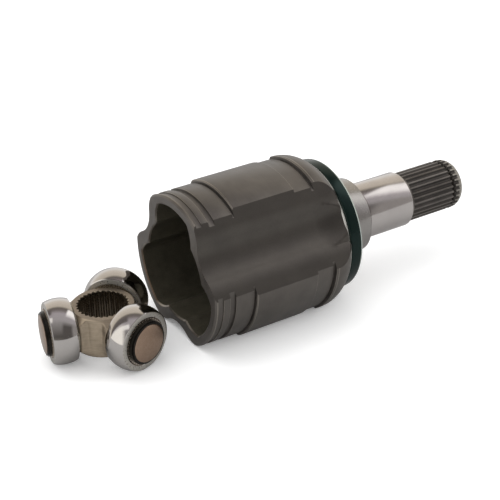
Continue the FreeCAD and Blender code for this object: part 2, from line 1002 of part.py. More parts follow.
def export(pieces):
    """Check every object of the document and every sub-part, then write the STEP files."""
    doc.recompute()
    for thing in doc.Objects:
        if {"Invalid", "Error"} & set(thing.State):
            raise ValueError(f"{thing.Label} failed: {thing.State}")
    for piece in pieces:
        if piece.Shape.isNull() or not piece.Shape.isValid() or not piece.Shape.Solids:
            raise ValueError(f"{piece.Label} has no valid solid")
    os.makedirs("parts", exist_ok=True)
    for piece in pieces:
        piece.Shape.exportStep(f"parts/{piece.Label}.step")


def main():
    fill_sheet()
    pieces = [make_housing(), make_dust_shield(), make_stub_circlip()]
    pieces.append(place_on_trunnion(make_spider(), 0))
    for index in range(LOBES):
        pieces += make_trunnion_set(index)
    export(pieces)


main()
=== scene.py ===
import math

import bpy
import numpy as np
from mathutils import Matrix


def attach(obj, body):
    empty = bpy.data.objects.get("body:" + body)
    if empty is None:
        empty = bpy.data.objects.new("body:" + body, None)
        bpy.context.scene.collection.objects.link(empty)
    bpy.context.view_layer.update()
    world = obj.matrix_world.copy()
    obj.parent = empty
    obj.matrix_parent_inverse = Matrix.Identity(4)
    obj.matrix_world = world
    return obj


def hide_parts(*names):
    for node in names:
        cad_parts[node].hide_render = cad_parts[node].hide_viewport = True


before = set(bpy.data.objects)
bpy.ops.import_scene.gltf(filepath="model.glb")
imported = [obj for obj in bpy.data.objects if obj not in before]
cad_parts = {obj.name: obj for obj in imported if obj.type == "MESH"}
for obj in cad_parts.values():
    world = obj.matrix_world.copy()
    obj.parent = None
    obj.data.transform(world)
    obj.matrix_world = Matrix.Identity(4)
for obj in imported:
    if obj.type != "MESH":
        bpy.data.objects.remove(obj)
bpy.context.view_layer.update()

MM = 0.001
LOBES = 3

# --- sizes in millimetres, with x running from the housing's mouth to the stub's end --------------

# cup, and the taper that closes it behind the flange
BODY_R = 41.9
FLANGE_R = 42.2
TAPER_START = 73.0
TAPER_LENGTH = 11.1
TAPER_R = 15.19
FLANGE_END = TAPER_START + TAPER_LENGTH
# valleys between the lobes: hollow, rounded shoulder and straight flank, measured outwards from the
# axis (along) and from the valley's middle line (across)
HOLLOW_R = 17.0
HOLLOW_CENTRE = 30.3 + HOLLOW_R
SHOULDER_ROUND = 16.0
FLANK_RISE = 0.03
FLANK_START = 34.7
RUN_OUT_START = 69.0
RUN_OUT_LIFT = 3.8
RUN_OUT_REACH = 35.8
# cavity
ROOF_R = 35.2
ROOF_ROUND = 2.0
RIDGE_R = 26.5
RIDGE_ROUND = 1.5
TRACK_R = 17.05
MOUTH_BEVEL = 0.7
CAVITY_DEPTH = 64.0
DISH_R = 20.0
DISH_DEPTH = 3.0
# behind the cup: collar, shoulder, undercut and journal
COLLAR_END = 92.1
SHOULDER_END = 113.3
JOURNAL_R = 15.43
JOURNAL_END = 143.5
JOURNAL_BEVEL = 1.0
UNDERCUT_R = 15.1
UNDERCUT_END = 113.9
# splined end of the stub
STUB_END = 181.2
SPLINE_START = 144.6
SPLINE_R = 14.0
SPLINE_ROOT_R = 12.9
SPLINE_TEETH = 28
CLIP_GROOVE = (172.65, 174.55)
CLIP_GROOVE_R = 12.0
NOSE_ROUND = 6.0
NOSE_LENGTH = 5.4
NOSE_FACE_R = 9.8
# stretch of the spline whose tooth spaces carry painted shade
SHADED_SPACES = (144.0, 177.5)
# dust ring
SHIELD_R = 35.87
# tripod: where it lies, rollers, hub with its pads and bore, and trunnions
TRIPOD_CENTRE = np.array([-39.2, 4.6, -19.07])
TRIPOD_TURN = -73.0
PITCH_R = 22.6
ROLLER_R = 16.8
ROLLER_HALF = 6.3
ROLLER_BORE_R = 12.36
ROLLER_BEVEL = 0.4
HUB_R = 16.3
HUB_HALF = 10.9
HUB_BEVEL = 0.6
PAD_HALF = 11.4
PAD_ROUND = 15.0
PAD_FACE = 15.3
PAD_BLEND = math.radians(13)
BORE_TIP_R = 12.3
BORE_ROOT_R = 13.15
BORE_TEETH = 30
BORE_BEVEL = 0.3
TRUNNION_R = 10.65
TRUNNION_START = 14.8
NECK_R = 9.95
NECK_START = 29.2
RING_GROOVE = (30.675, 31.425)
RING_GROOVE_R = 9.25
BEVEL_START = 31.6
TRUNNION_END = 32.5
END_RIM_R = 9.6
END_HEIGHT = 0.8

FLOOR_Z = -35.87

# --- shapes ---------------------------------------------------------------------------------------

# points on half a land, on a rounded corner and round a turned piece
LAND_STEPS = 29
CORNER_STEPS = 3
RING_STEPS = 256
CORNER_R = 0.25
BACK_CORNER_R = 0.2


def arc(centre, radius, start, end, count):
    """Points of a circle's arc: centre plus radius times (cos a, sin a), a going evenly from
    start to end in radians."""
    a = np.linspace(start, end, count)
    return np.stack([centre[0] + radius * np.cos(a), centre[1] + radius * np.sin(a)], axis=1)


def cap(tip, height, reach):
    """Profile of a shallow dome with its tip at x = tip and its rim, reach[0] from the axis, height
    behind it: x = tip - R + sqrt(R^2 - r^2), where R = (reach[0]^2 + height^2) / (2 height)."""
    radius = (reach[0] ** 2 + height**2) / (2 * height)
    return np.stack([tip - radius + np.sqrt(radius**2 - reach**2), reach], axis=1)


def circles_meet(from_axis, from_track, pitch):
    """Where a circle about the axis meets one about the track's centre, which lies pitch from the
    axis: along = (from_axis^2 + pitch^2 - from_track^2) / (2 pitch), across by Pythagoras."""
    along = (from_axis**2 + pitch**2 - from_track**2) / (2 * pitch)
    return np.array([along, math.sqrt(from_axis**2 - along**2)])


def heading(from_point, to_point):
    """The angle of the line from one point to another, by the arc tangent of its two parts."""
    return math.atan2(to_point[1] - from_point[1], to_point[0] - from_point[0])


def round_profile(points, radius):
    """A profile with each corner rounded: the corner P gives way to the quadratic curve
    (1-t)^2 A + 2t(1-t) P + t^2 B, where A and B lie on its two sides, radius away from P or
    0.4 of the side where that is less."""
    p = np.asarray(points, float)
    before, after = p[:-2] - p[1:-1], p[2:] - p[1:-1]
    reach = [np.linalg.norm(side, axis=1, keepdims=True) for side in (before, after)]
    a, b = (
        p[1:-1] + side / np.maximum(length, 1e-9) * np.minimum(radius, 0.4 * length)
        for side, length in zip((before, after), reach)
    )
    t = np.linspace(0, 1, CORNER_STEPS)[None, :, None]
    curve = (1 - t) ** 2 * a[:, None] + 2 * t * (1 - t) * p[1:-1, None] + t**2 * b[:, None]
    return np.concatenate([p[:1], curve.reshape(-1, 2), p[-1:]])


def proud_corners(line):
    """True for the spans of a rounded profile that belong to a corner that stands out. The first of
    each three spans is straight, and the other two stand out where the cross product of a span and
    the next one is under zero."""
    span = np.diff(line, axis=0)
    turning = span[:-1, 0] * span[1:, 1] - span[:-1, 1] * span[1:, 0]
    return np.append((np.arange(len(turning)) % CORNER_STEPS > 0) & (turning < 0), False)


def circle_rows(profile, angles):
    """A turned surface: row i is the circle of radius r_i at x_i, sampled at the angles given:
    (x_i, r_i cos a, r_i sin a)."""
    profile = np.asarray(profile, float)
    x = np.broadcast_to(profile[:, :1], (len(profile), len(angles)))
    return np.stack([x, profile[:, 1:] * np.cos(angles), profile[:, 1:] * np.sin(angles)], axis=2)


def sheet_faces(rows, columns):
    """Quads of a grid that closes round on itself: row by row, each point with its neighbour in
    the row and the two behind them in the next row."""
    here = np.arange(rows - 1)[:, None] * columns + np.arange(columns)
    beside = np.arange(rows - 1)[:, None] * columns + (np.arange(columns) + 1) % columns
    return np.stack([here, beside, beside + columns, here + columns], axis=2).reshape(-1, 4)


def add_piece(name, rows, body, looks, slots=0, closed_ends=True, sharp=28.0):
    """A mesh from rows of points, each row a closed ring: quads between the rows, and a fan from
    the middle of the first and of the last row where the ends are closed."""
    count, columns = rows.shape[:2]
    points = rows.reshape(-1, 3)
    faces = [sheet_faces(count, columns)]
    face_slots = np.broadcast_to(slots, (count - 1, columns)).ravel()
    if closed_ends:
        middles = np.stack([rows[0].mean(axis=0), rows[-1].mean(axis=0)])
        start = (count - 1) * columns
        ring = np.arange(columns)
        after = (ring + 1) % columns
        first_fan = np.stack([np.full(columns, len(points)), after, ring], axis=1)
        last_fan = np.stack(
            [np.full(columns, len(points) + 1), ring + start, after + start], axis=1
        )
        faces.append(np.concatenate([first_fan, last_fan]))
        points = np.concatenate([points, middles])
        ends = np.repeat([face_slots[0], face_slots[-1]], columns)
        face_slots = np.concatenate([face_slots, ends])
    mesh = bpy.data.meshes.new(name)
    corners = np.concatenate([f.ravel() for f in faces])
    sizes = np.concatenate([np.full(len(f), f.shape[1]) for f in faces])
    starts = np.concatenate([[0], np.cumsum(sizes)[:-1]])
    mesh.vertices.add(len(points))
    mesh.vertices.foreach_set("co", (points * MM).astype(np.float32).ravel())
    mesh.loops.add(len(corners))
    mesh.loops.foreach_set("vertex_index", corners.astype(np.int32))
    mesh.polygons.add(len(sizes))
    mesh.polygons.foreach_set("loop_start", starts.astype(np.int32))
    for look in looks:
        mesh.materials.append(look)
    mesh.polygons.foreach_set("material_index", face_slots.astype(np.int32))
    mesh.update(calc_edges=True)
    mesh.validate()
    mesh.shade_smooth()
    mesh.set_sharp_from_angle(angle=math.radians(sharp))
    piece = bpy.data.objects.new(name, mesh)
    bpy.context.scene.collection.objects.link(piece)
    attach(piece, body)
    return piece


def around(half):
    """A closed ring from half of one lobe's outline: the half, given from the lobe's middle to the
    valley's middle as (along, across), is mirrored in the lobe's middle line and set three times
    round the axis, the first lobe pointing up."""
    other = half[::-1] * np.array([1.0, -1.0])
    lobe = np.concatenate([other[1:-1], half])
    rings = []
    for k in range(LOBES):
        a = math.pi / 2 + 2 * math.pi * k / LOBES
        turn = np.array([[math.cos(a), math.sin(a)], [-math.sin(a), math.cos(a)]])
        rings.append(lobe @ turn)
    return np.concatenate(rings)


def valley_half(radius):
    """Half a valley of the cup from its middle out to where its flank meets the circle of that
    radius: the hollow's arc, the arc that rounds its shoulder, then the straight flank
    along = FLANK_START + FLANK_RISE * across. The shoulder's centre lies SHOULDER_ROUND below the
    flank and HOLLOW_R + SHOULDER_ROUND from the hollow's centre."""
    slant = math.hypot(1, FLANK_RISE)
    drop = FLANK_START - SHOULDER_ROUND * slant - HOLLOW_CENTRE
    b, c = FLANK_RISE * drop, drop**2 - (HOLLOW_R + SHOULDER_ROUND) ** 2
    across = (-b + math.sqrt(b * b - slant**2 * c)) / slant**2
    centre = np.array([drop + FLANK_RISE * across + HOLLOW_CENTRE, across])
    middle = np.array([HOLLOW_CENTRE, 0.0])
    leave = heading(middle, centre)
    arrive = 2 * math.pi + math.atan2(-FLANK_RISE, 1)
    hollow = arc(middle, HOLLOW_R, math.pi, leave, 17)
    shoulder = arc(centre, SHOULDER_ROUND, leave + math.pi, arrive, 7)
    start = shoulder[-1, 1]
    fall = FLANK_RISE * FLANK_START
    end = (-fall + np.sqrt(fall**2 - slant**2 * (FLANK_START**2 - radius**2))) / slant**2
    run = start + (end - start) * np.linspace(0, 1, 9)[1:]
    flank = np.stack([FLANK_START + FLANK_RISE * run, run], axis=1)
    return np.concatenate([hollow, shoulder[1:], flank])


def cup_half(radius):
    """Half of the cup's outside at one turned radius, from the lobe's middle to the valley's: an
    arc about the axis, then the valley's half turned by 60 degrees into the lobe's own frame, as
    (along cos a + across sin a, along sin a - across cos a)."""
    along, across = valley_half(radius)[::-1].T
    c, s = math.cos(math.pi / LOBES), math.sin(math.pi / LOBES)
    turned = np.stack([along * c + across * s, along * s - across * c], axis=1)
    edge = math.atan2(turned[0, 1], turned[0, 0])
    return np.concatenate([arc((0, 0), radius, 0, edge, LAND_STEPS + 1)[:-1], turned])


def run_out(outline, x, radius):
    """The outline with its valleys fading towards the flange's end: each point moves outwards by
    RUN_OUT_LIFT * ((x - RUN_OUT_START) / (FLANGE_END - RUN_OUT_START))^2, as far as
    RUN_OUT_REACH."""
    lift = RUN_OUT_LIFT * max(0.0, (x - RUN_OUT_START) / (FLANGE_END - RUN_OUT_START)) ** 2
    r = np.linalg.norm(outline, axis=1, keepdims=True)
    return outline * np.clip(r + lift, r, np.clip(RUN_OUT_REACH, r, radius)) / r


def cavity_half(count):
    """Half of the cavity's outline from a lobe's middle to a ridge's: roof arc, roof corner, track
    arc, ridge corner and ridge arc, resampled evenly in length to count points."""
    track = np.array([PITCH_R, 0.0])
    roof_corner = circles_meet(ROOF_R - ROOF_ROUND, TRACK_R - ROOF_ROUND, PITCH_R)
    ridge_corner = circles_meet(RIDGE_R + RIDGE_ROUND, TRACK_R + RIDGE_ROUND, PITCH_R)
    roof_end, ridge_end = heading((0, 0), roof_corner), heading((0, 0), ridge_corner)
    track_start, track_end = heading(track, roof_corner), heading(track, ridge_corner)
    ridge_turn = (track_end + math.pi, ridge_end + math.pi)
    line = np.concatenate([
        arc((0, 0), ROOF_R, 0, roof_end, 60)[:-1],
        arc(roof_corner, ROOF_ROUND, roof_end, track_start, 20)[:-1],
        arc(track, TRACK_R, track_start, track_end, 60)[:-1],
        arc(ridge_corner, RIDGE_ROUND, *ridge_turn, 20)[:-1],
        arc((0, 0), RIDGE_R, ridge_end, math.pi / LOBES, 40),
    ])
    steps = np.linalg.norm(np.diff(line, axis=0), axis=1)
    length = np.concatenate([[0], np.cumsum(steps)])
    even = np.linspace(0, length[-1], count)
    return np.stack([np.interp(even, length, line[:, k]) for k in (0, 1)], axis=1)


def section_row(x, outline):
    """One ring of a lobed surface: the outline's (along, across) as (y, z) at that x."""
    return np.concatenate([np.full((len(outline), 1), x), outline], axis=1)


def grown(outline, amount):
    """A closed outline moved outwards by amount: each point along the normal of the line through
    its two neighbours."""
    along = np.roll(outline, -1, axis=0) - np.roll(outline, 1, axis=0)
    normal = np.stack([along[:, 1], -along[:, 0]], axis=1)
    return outline + amount * normal / np.linalg.norm(normal, axis=1, keepdims=True)


# teeth: how their sides open, how far their corners and the spaces' corners are broken, and the
# turn that a tip's corner takes. Of each tooth's points, the spans from 2 to 6 lie in a space
FLANK_OPENING = 0.6
TIP_BREAK = 0.12
ROOT_BREAK = 0.08
TIP_TURN = 0.012
TOOTH_POINTS = 9
SPACE_SPANS = (2, 3, 4, 5, 6)


def tooth_ring(tip_r, root_r, teeth):
    """The radius and angle of each point round a splined ring. Each tooth space is half a pitch
    wide on the circle midway between root and tip, and its sides open by FLANK_OPENING per unit of
    height h above that circle, towards the tips, so its half width is pitch/4 + FLANK_OPENING * h.
    A tooth's corners are TIP_BREAK lower than its tip, and a space's corners ROOT_BREAK above its
    root."""
    outwards = math.copysign(1.0, tip_r - root_r)
    middle = (tip_r + root_r) / 2
    quarter = math.pi / 2 * middle / teeth
    opening = FLANK_OPENING * outwards
    at_root = (quarter + opening * (root_r - middle)) / root_r
    at_tip = (quarter + opening * (tip_r - middle)) / tip_r
    top = at_tip + TIP_TURN
    low = at_root / 3
    end = math.pi / teeth
    a = np.array([-end, -top, -at_tip, -at_root, -low, low, at_root, at_tip, top])
    tip_side, root_side = tip_r - TIP_BREAK * outwards, root_r + ROOT_BREAK * outwards
    r = np.array([tip_r, tip_r, tip_side, root_side, root_r, root_r, root_side, tip_side, tip_r])
    turn = 2 * math.pi * np.arange(teeth)[:, None] / teeth
    return np.tile(r, teeth), (a + turn).ravel()


def on_trunnion(rows, index):
    """Rows about +X from the tripod's centre, turned to one trunnion and set where the tripod
    lies: x cos t - y sin t, x sin t + y cos t, z, plus the centre."""
    t = math.radians(TRIPOD_TURN + 360 / LOBES * index)
    spin = np.array([[math.cos(t), math.sin(t), 0], [-math.sin(t), math.cos(t), 0], [0, 0, 1]])
    return rows @ spin + TRIPOD_CENTRE


def hub_outside(height, angles):
    """The hub's radius at a height and angle. With f the angle from the nearest trunnion and
    w = PAD_HALF * (1 - (height / PAD_ROUND)^4)^(1/4) the pad's half width there, the pad's flat
    face is PAD_FACE / cos f. Past the pad's rim, at the angle atan(w / PAD_FACE), the radius falls
    to HUB_R as (1 + cos pi t) / 2, with t going from 0 to 1 over PAD_BLEND. The least of the two
    counts, and the ends slope in by 45 degrees."""
    third = 2 * math.pi / LOBES
    turned = np.asarray(angles) - math.radians(TRIPOD_TURN)
    f = np.abs((turned + third / 2) % third - third / 2)
    half_width = PAD_HALF * (1 - (height / PAD_ROUND) ** 4) ** 0.25
    rim_angle = math.atan2(half_width, PAD_FACE)
    blend = np.minimum(PAD_BLEND, third / 2 - rim_angle)
    t = np.clip((f - rim_angle) / blend, 0, 1)
    rim = math.hypot(half_width, PAD_FACE)
    r = HUB_R + (rim - HUB_R) * (1 + np.cos(math.pi * t)) / 2
    sloped = HUB_R - HUB_BEVEL + (HUB_HALF - abs(height))
    return np.minimum(np.minimum(r, PAD_FACE / np.cos(f)), sloped)


# --- finishes -------------------------------------------------------------------------------------


def linear(red, green, blue):
    """A colour given as 0 to 255 on a screen, as the linear numbers that the shader takes:
    c / 12.92 where the share c of 255 is up to 0.04045, and ((c + 0.055) / 1.055)^2.4 above it."""
    c = np.array([red, green, blue]) / 255
    return (*np.where(c <= 0.04045, c / 12.92, ((c + 0.055) / 1.055) ** 2.4).tolist(), 1.0)


class Wire:
    """An output socket on which Python's arithmetic adds Math nodes."""

    def __init__(self, finish, socket):
        self.finish = finish
        self.socket = socket

    def maths(self, operation, *values):
        """A Math node of its finish."""
        return self.finish.maths(operation, *values)

    def __add__(self, other):
        return self.maths("ADD", self, other)

    def __radd__(self, other):
        return self.maths("ADD", other, self)

    def __sub__(self, other):
        return self.maths("SUBTRACT", self, other)

    def __rsub__(self, other):
        return self.maths("SUBTRACT", other, self)

    def __mul__(self, other):
        return self.maths("MULTIPLY", self, other)

    def __rmul__(self, other):
        return self.maths("MULTIPLY", other, self)

    def __truediv__(self, other):
        return self.maths("DIVIDE", self, other)

    def __rtruediv__(self, other):
        return self.maths("DIVIDE", other, self)


class Finish:
    """One material: a Principled shader, and the nodes that vary it over the surface."""

    def __init__(self, name, **fixed):
        self.material = bpy.data.materials.new(name)
        self.material.use_nodes = True
        self.tree = self.material.node_tree
        self.shader = self.tree.nodes["Principled BSDF"]
        self.wear(**fixed)
        self.place = self.node("ShaderNodeTexCoord", output="Object")

    def feed(self, sockets, node):
        """Links each wire to its socket, and sets each plain value on it."""
        for key, value in sockets.items():
            if isinstance(value, Wire):
                self.tree.links.new(value.socket, node.inputs[key])
            else:
                node.inputs[key].default_value = value

    def node(self, kind, settings=None, sockets=None, output=0):
        """A node of that kind: its settings first, a ramp's stops among them, then the values or
        links of its sockets."""
        made = self.tree.nodes.new(kind)
        for key, value in (settings or {}).items():
            if key == "stops":
                ramp = made.color_ramp
                for spare in list(ramp.elements)[1:]:
                    ramp.elements.remove(spare)
                ramp.elements[0].position, ramp.elements[0].color = value[0]
                for position, colour in value[1:]:
                    ramp.elements.new(position).color = colour
            else:
                setattr(made, key, value)
        self.feed(sockets or {}, made)
        return Wire(self, made.outputs[output])

    def maths(self, operation, *values):
        """A Math node: the operation on its values, in their order."""
        return self.node("ShaderNodeMath", {"operation": operation}, dict(enumerate(values)))

    def grain(self, size_mm, stretch=(1, 1, 1), detail=3.0):
        """Noise from 0 to 1 whose spots are about size_mm across, drawn out along an axis where
        its stretch is over 1."""
        scale = tuple(1 / s for s in stretch)
        place = self.node("ShaderNodeMapping", None, {"Vector": self.place, "Scale": scale})
        return self.node(
            "ShaderNodeTexNoise",
            {"noise_dimensions": "3D"},
            {"Vector": place, "Scale": 1 / (size_mm * MM), "Detail": detail, "Roughness": 0.55},
            "Fac",
        )

    def between(self, wire, low, high, out_low=0.0, out_high=1.0):
        """A number carried from low..high to out_low..out_high, held at the ends."""
        ends = {"From Min": low, "From Max": high, "To Min": out_low, "To Max": out_high}
        return self.node("ShaderNodeMapRange", {"clamp": True}, {"Value": wire, **ends})

    def blend(self, factor, first, second):
        """A colour that goes from first to second as factor goes from 0 to 1."""
        settings = {"data_type": "RGBA", "clamp_factor": True}
        return self.node("ShaderNodeMix", settings, {0: factor, 6: first, 7: second}, 2)

    def bump(self, height, depth_mm):
        """A normal from a height that goes from 0 to 1 over depth_mm."""
        return self.node("ShaderNodeBump", None, {"Height": height, "Distance": depth_mm * MM})

    def wear(self, **sockets):
        """Feeds the shader's sockets, named with _ for a space, and gives the material."""
        self.feed({key.replace("_", " "): value for key, value in sockets.items()}, self.shader)
        return self.material


# the stretch of a mix of grains that a tone runs over, and the stretch of a single grain
CLOUDY = (0.35, 0.65)
GRAINY = (0.3, 0.7)


def forged_steel():
    """Phosphated forging in the valleys: a dark tone that drifts with wide clouds and darkens by
    up to 0.4 in fine specks, which are also its bumps."""
    f = Finish("forged_phosphate", Metallic=0.78)
    speck, cloud = f.grain(0.35), f.grain(14.0)
    tone = f.blend(f.between(cloud, *GRAINY), linear(86, 82, 78), linear(93, 89, 84))
    tone = f.blend(f.between(speck, 0.5, 0.8, 0, 0.4), tone, linear(66, 62, 58))
    return f.wear(
        Base_Color=tone,
        Roughness=f.between(speck, *GRAINY, 0.3, 0.42),
        Normal=f.bump(speck, 0.012),
    )


def turned_steel(name, dark, light, low=0.3, high=0.45, metal=0.75):
    """Steel turned on a lathe: the tone is 0.6 of soft clouds and 0.4 of fine rings round the
    housing's axis, and the rings are its bumps."""
    f = Finish(name, Metallic=metal)
    rings, cloud = f.grain(0.12, stretch=(1, 60, 60), detail=2.0), f.grain(12.0)
    mixed = f.between(0.6 * cloud + 0.4 * rings, *CLOUDY)
    return f.wear(
        Base_Color=f.blend(mixed, linear(*dark), linear(*light)),
        Roughness=f.between(rings, *GRAINY, low, high),
        Normal=f.bump(rings, 0.004),
    )


def fine_steel(name, dark, light, low, high, size=0.5, metal=1.0, bump=0.002):
    """Steel finished fine: the tone is half of an even speck and half of clouds 16 times as wide,
    and the speck is its bumps."""
    f = Finish(name, Metallic=metal)
    speck, cloud = f.grain(size), f.grain(size * 16)
    mixed = f.between(0.5 * speck + 0.5 * cloud, *CLOUDY)
    return f.wear(
        Base_Color=f.blend(mixed, linear(*dark), linear(*light)),
        Roughness=f.between(speck, *GRAINY, low, high),
        Normal=f.bump(speck, bump),
    )


def hub_steel():
    """The spider's hub: tan, 0.6 of clouds and 0.4 of turning lines round its upright axis, and
    greyer on its two end faces, where the height from the middle is within 0.2 mm of HUB_HALF."""
    f = Finish("hub_steel", Metallic=0.85)
    z = f.node("ShaderNodeSeparateXYZ", None, {0: f.place}, 2)
    height = f.maths("ABSOLUTE", z - TRIPOD_CENTRE[2] * MM)
    top = f.between(height, (HUB_HALF - 0.2) * MM, (HUB_HALF - 0.02) * MM)
    lines = f.grain(0.25, stretch=(60, 60, 1), detail=2.0)
    cloud, speck = f.grain(5.0), f.grain(0.3)
    mixed = f.between(0.6 * cloud + 0.4 * lines, *CLOUDY)
    tan = f.blend(mixed, linear(160, 146, 128), linear(196, 180, 158))
    tan = f.blend(top * f.between(speck, *CLOUDY, 0.4, 1.0), tan, linear(132, 122, 112))
    return f.wear(
        Base_Color=tan,
        Roughness=f.between(speck + 0.4 * top, 0.3, 1.0, 0.3, 0.46),
        Normal=f.bump(lines, 0.006),
    )


# housing
forged = forged_steel()
lands = turned_steel("turned_phosphate", (96, 92, 88), (112, 107, 102))
# lighter steel for proud edges: part wear, part painted highlight
worn_and_highlit_edge = fine_steel("worn_and_highlit_edge", (132, 127, 120), (156, 150, 142), 0.28, 0.4)
inside = fine_steel("cavity_steel", (82, 78, 66), (106, 101, 87), 0.35, 0.5, metal=0.55)
# bare turned steel, made near white and little metallic as a painted flash highlight
collar = turned_steel("collar_painted_flash", (214, 211, 204), (235, 232, 225), 0.2, 0.3, metal=0.3)
bright_edge = fine_steel("bright_edge", (196, 194, 188), (220, 217, 210), 0.25, 0.35, metal=0.6)
shoulder = fine_steel("shoulder_steel", (160, 157, 154), (178, 175, 172), 0.2, 0.28)
journal = fine_steel("ground_steel", (200, 195, 193), (212, 207, 204), 0.12, 0.18)
# stub and dust ring
splined = fine_steel("spline_steel", (104, 100, 96), (128, 123, 118), 0.26, 0.38, metal=0.9)
# darker steel in the spaces between the teeth: painted shade
shaded_tooth_spaces = fine_steel("spline_root_painted_shade", (66, 63, 60), (82, 78, 74), 0.3, 0.45, metal=0.7)
nose_look = fine_steel("stub_nose", (136, 132, 125), (164, 160, 152), 0.3, 0.45, 0.8, 0.7)
shield_black = fine_steel("black_zinc", (14, 32, 29), (19, 40, 36), 0.14, 0.22, metal=0.6)
# pale steel painted on the ring's back rim as a highlight
shield_rim_highlight = fine_steel("zinc_rim_painted_highlight", (176, 186, 180), (206, 214, 208), 0.2, 0.3, metal=0.7)
# tripod
mirror = fine_steel("polished_steel", (201, 197, 194), (210, 206, 203), 0.07, 0.1, bump=0.0)
side_face = fine_steel("roller_face", (176, 172, 165), (186, 182, 174), 0.26, 0.32, 1.0, 0.65)
hub_look = hub_steel()
bore_look = fine_steel("bore_steel", (134, 124, 110), (160, 149, 133), 0.2, 0.28)
end_look = fine_steel("trunnion_end", (168, 143, 124), (184, 160, 141), 0.16, 0.22, size=1.2)
needle_look = fine_steel("needle_steel", (176, 165, 153), (202, 192, 180), 0.2, 0.3)
washer_look = fine_steel("dark_washer", (40, 38, 34), (58, 55, 50), 0.25, 0.35, metal=0.8)
inner_look = fine_steel("grey_washer", (134, 129, 117), (154, 149, 136), 0.22, 0.32)
# dark spring steel; on the stub's circlip its darkness also stands in as painted shade of the
# clip's groove
spring_look = fine_steel("spring_steel", (36, 33, 30), (54, 50, 46), 0.25, 0.35, metal=0.8)

# --- housing --------------------------------------------------------------------------------------

cup_profile = [
    # mouth, with its bevel
    (0, 39.3), (1, 40.3), (1.6, 40.3),
    # boot seat: shallow groove, bead and deep groove
    (1.6, 39.6), (4.6, 39.6), (4.6, 40.3), (8.5, 40.3), (8.5, 39), (11.8, 39),
    # band, narrow groove and the step up to the body
    (11.8, 40.4), (22.3, 40.4), (22.3, 39.4), (23.3, 39.4), (23.3, 41.4), (23.8, BODY_R),
    # body, lowered band and groove before the flange
    (60, BODY_R), (60, 41), (70, 41), (70, 40), (71.5, 40), (71.5, FLANGE_R),
    (TAPER_START, FLANGE_R),
]
taper_turn = math.asin(TAPER_LENGTH / TAPER_R)
taper_centre = (TAPER_START, FLANGE_R - TAPER_R)
taper = arc(taper_centre, TAPER_R, math.pi / 2, math.pi / 2 - taper_turn, 14)
cup_line = np.concatenate([round_profile([*cup_profile, taper[1]], CORNER_R), taper[2:]])
outside = np.stack([section_row(x, around(run_out(cup_half(r), x, r))) for x, r in cup_line])
half_count = len(cup_half(BODY_R))

hollow_line = around(cavity_half(half_count))
cavity_steps = [
    (0.0, MOUTH_BEVEL), (MOUTH_BEVEL, 0.0),
    *((x, 0.0) for x in np.linspace(4, CAVITY_DEPTH - 1.0, 12)),
    (CAVITY_DEPTH - 0.3, -0.2), (CAVITY_DEPTH, -0.9),
]
cavity = np.stack([
    section_row(x, grown(hollow_line, amount) if amount else hollow_line)
    for x, amount in cavity_steps
])
dish = cap(CAVITY_DEPTH + DISH_DEPTH, DISH_DEPTH, np.linspace(DISH_R, 0.6, 10))
floor = circle_rows(dish, np.arctan2(hollow_line[:, 1], hollow_line[:, 0]))

behind = round_profile(
    [
        # collar, with the dust ring's seat
        (FLANGE_END, 34.2), (85.5, 34.2), (85.5, 33.0), (COLLAR_END, 33.0), (COLLAR_END, 22.4),
        # fillet and shoulder, and the narrow undercut before the journal
        *arc((94.1, 22.4), 2.0, 1.1 * math.pi, 1.5 * math.pi, 6), (110.1, 20.4),
        (SHOULDER_END, 15.6), (SHOULDER_END, UNDERCUT_R), (UNDERCUT_END, UNDERCUT_R),
        (UNDERCUT_END, JOURNAL_R),
        # journal, with its bevel
        (JOURNAL_END - JOURNAL_BEVEL, JOURNAL_R), (JOURNAL_END, JOURNAL_R - JOURNAL_BEVEL),
        (JOURNAL_END, 13.0),
    ],
    BACK_CORNER_R,
)
back = circle_rows(behind, np.arctan2(outside[0, :, 2], outside[0, :, 1]))
housing_rows = np.concatenate([floor[::-1], cavity[::-1], outside, back])

# looks by row of faces: mouth is the row on the mouth's rim and flange_end the last of the cup's.
# Columns go by their distance from the lobe's middle, and the first LAND_STEPS are on its land
INSIDE, LAND, FORGED, COLLAR, SHOULDER, JOURNAL, WORN_AND_LIT, EDGE = range(8)
row_x = housing_rows[:, :, 0].mean(axis=1)
span_x = (row_x[:-1] + row_x[1:]) / 2
mouth = len(floor) + len(cavity) - 1
flange_end = mouth + len(cup_line) - 1
columns = housing_rows.shape[1]
from_middle = np.abs(np.arange(columns) % (columns // LOBES) - (half_count - 2) + 0.5)
on_land = from_middle < LAND_STEPS
row_slots = np.select(
    [
        np.arange(len(span_x)) < mouth, span_x < FLANGE_END, span_x < COLLAR_END + 0.1,
        span_x < SHOULDER_END,
    ],
    [INSIDE, LAND, COLLAR, SHOULDER],
    default=JOURNAL,
)[:, None]
face_slots = np.where((row_slots == LAND) & ~on_land, FORGED, row_slots)
face_slots[mouth] = LAND
# the mouth's bevel gets the same lighter edge: part wear, part painted highlight
face_slots[mouth - 1] = WORN_AND_LIT
# the lands' proud corners are painted lighter, part wear and part painted highlight, and the flange
# ends in a bright edge
worn_and_lit_corners = mouth + 1 + np.flatnonzero(proud_corners(cup_line) & (cup_line[:-1, 0] < TAPER_START))
face_slots[worn_and_lit_corners] = np.where(on_land, WORN_AND_LIT, face_slots[worn_and_lit_corners])
face_slots[flange_end - 1:flange_end + 1] = np.where(on_land, EDGE, FORGED)
housing = add_piece(
    "tulip_forging",
    housing_rows,
    "housing",
    [inside, lands, forged, collar, shoulder, journal, worn_and_highlit_edge, bright_edge],
    face_slots,
)
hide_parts("tulip_housing")

# --- splined end of the stub ----------------------------------------------------------------------

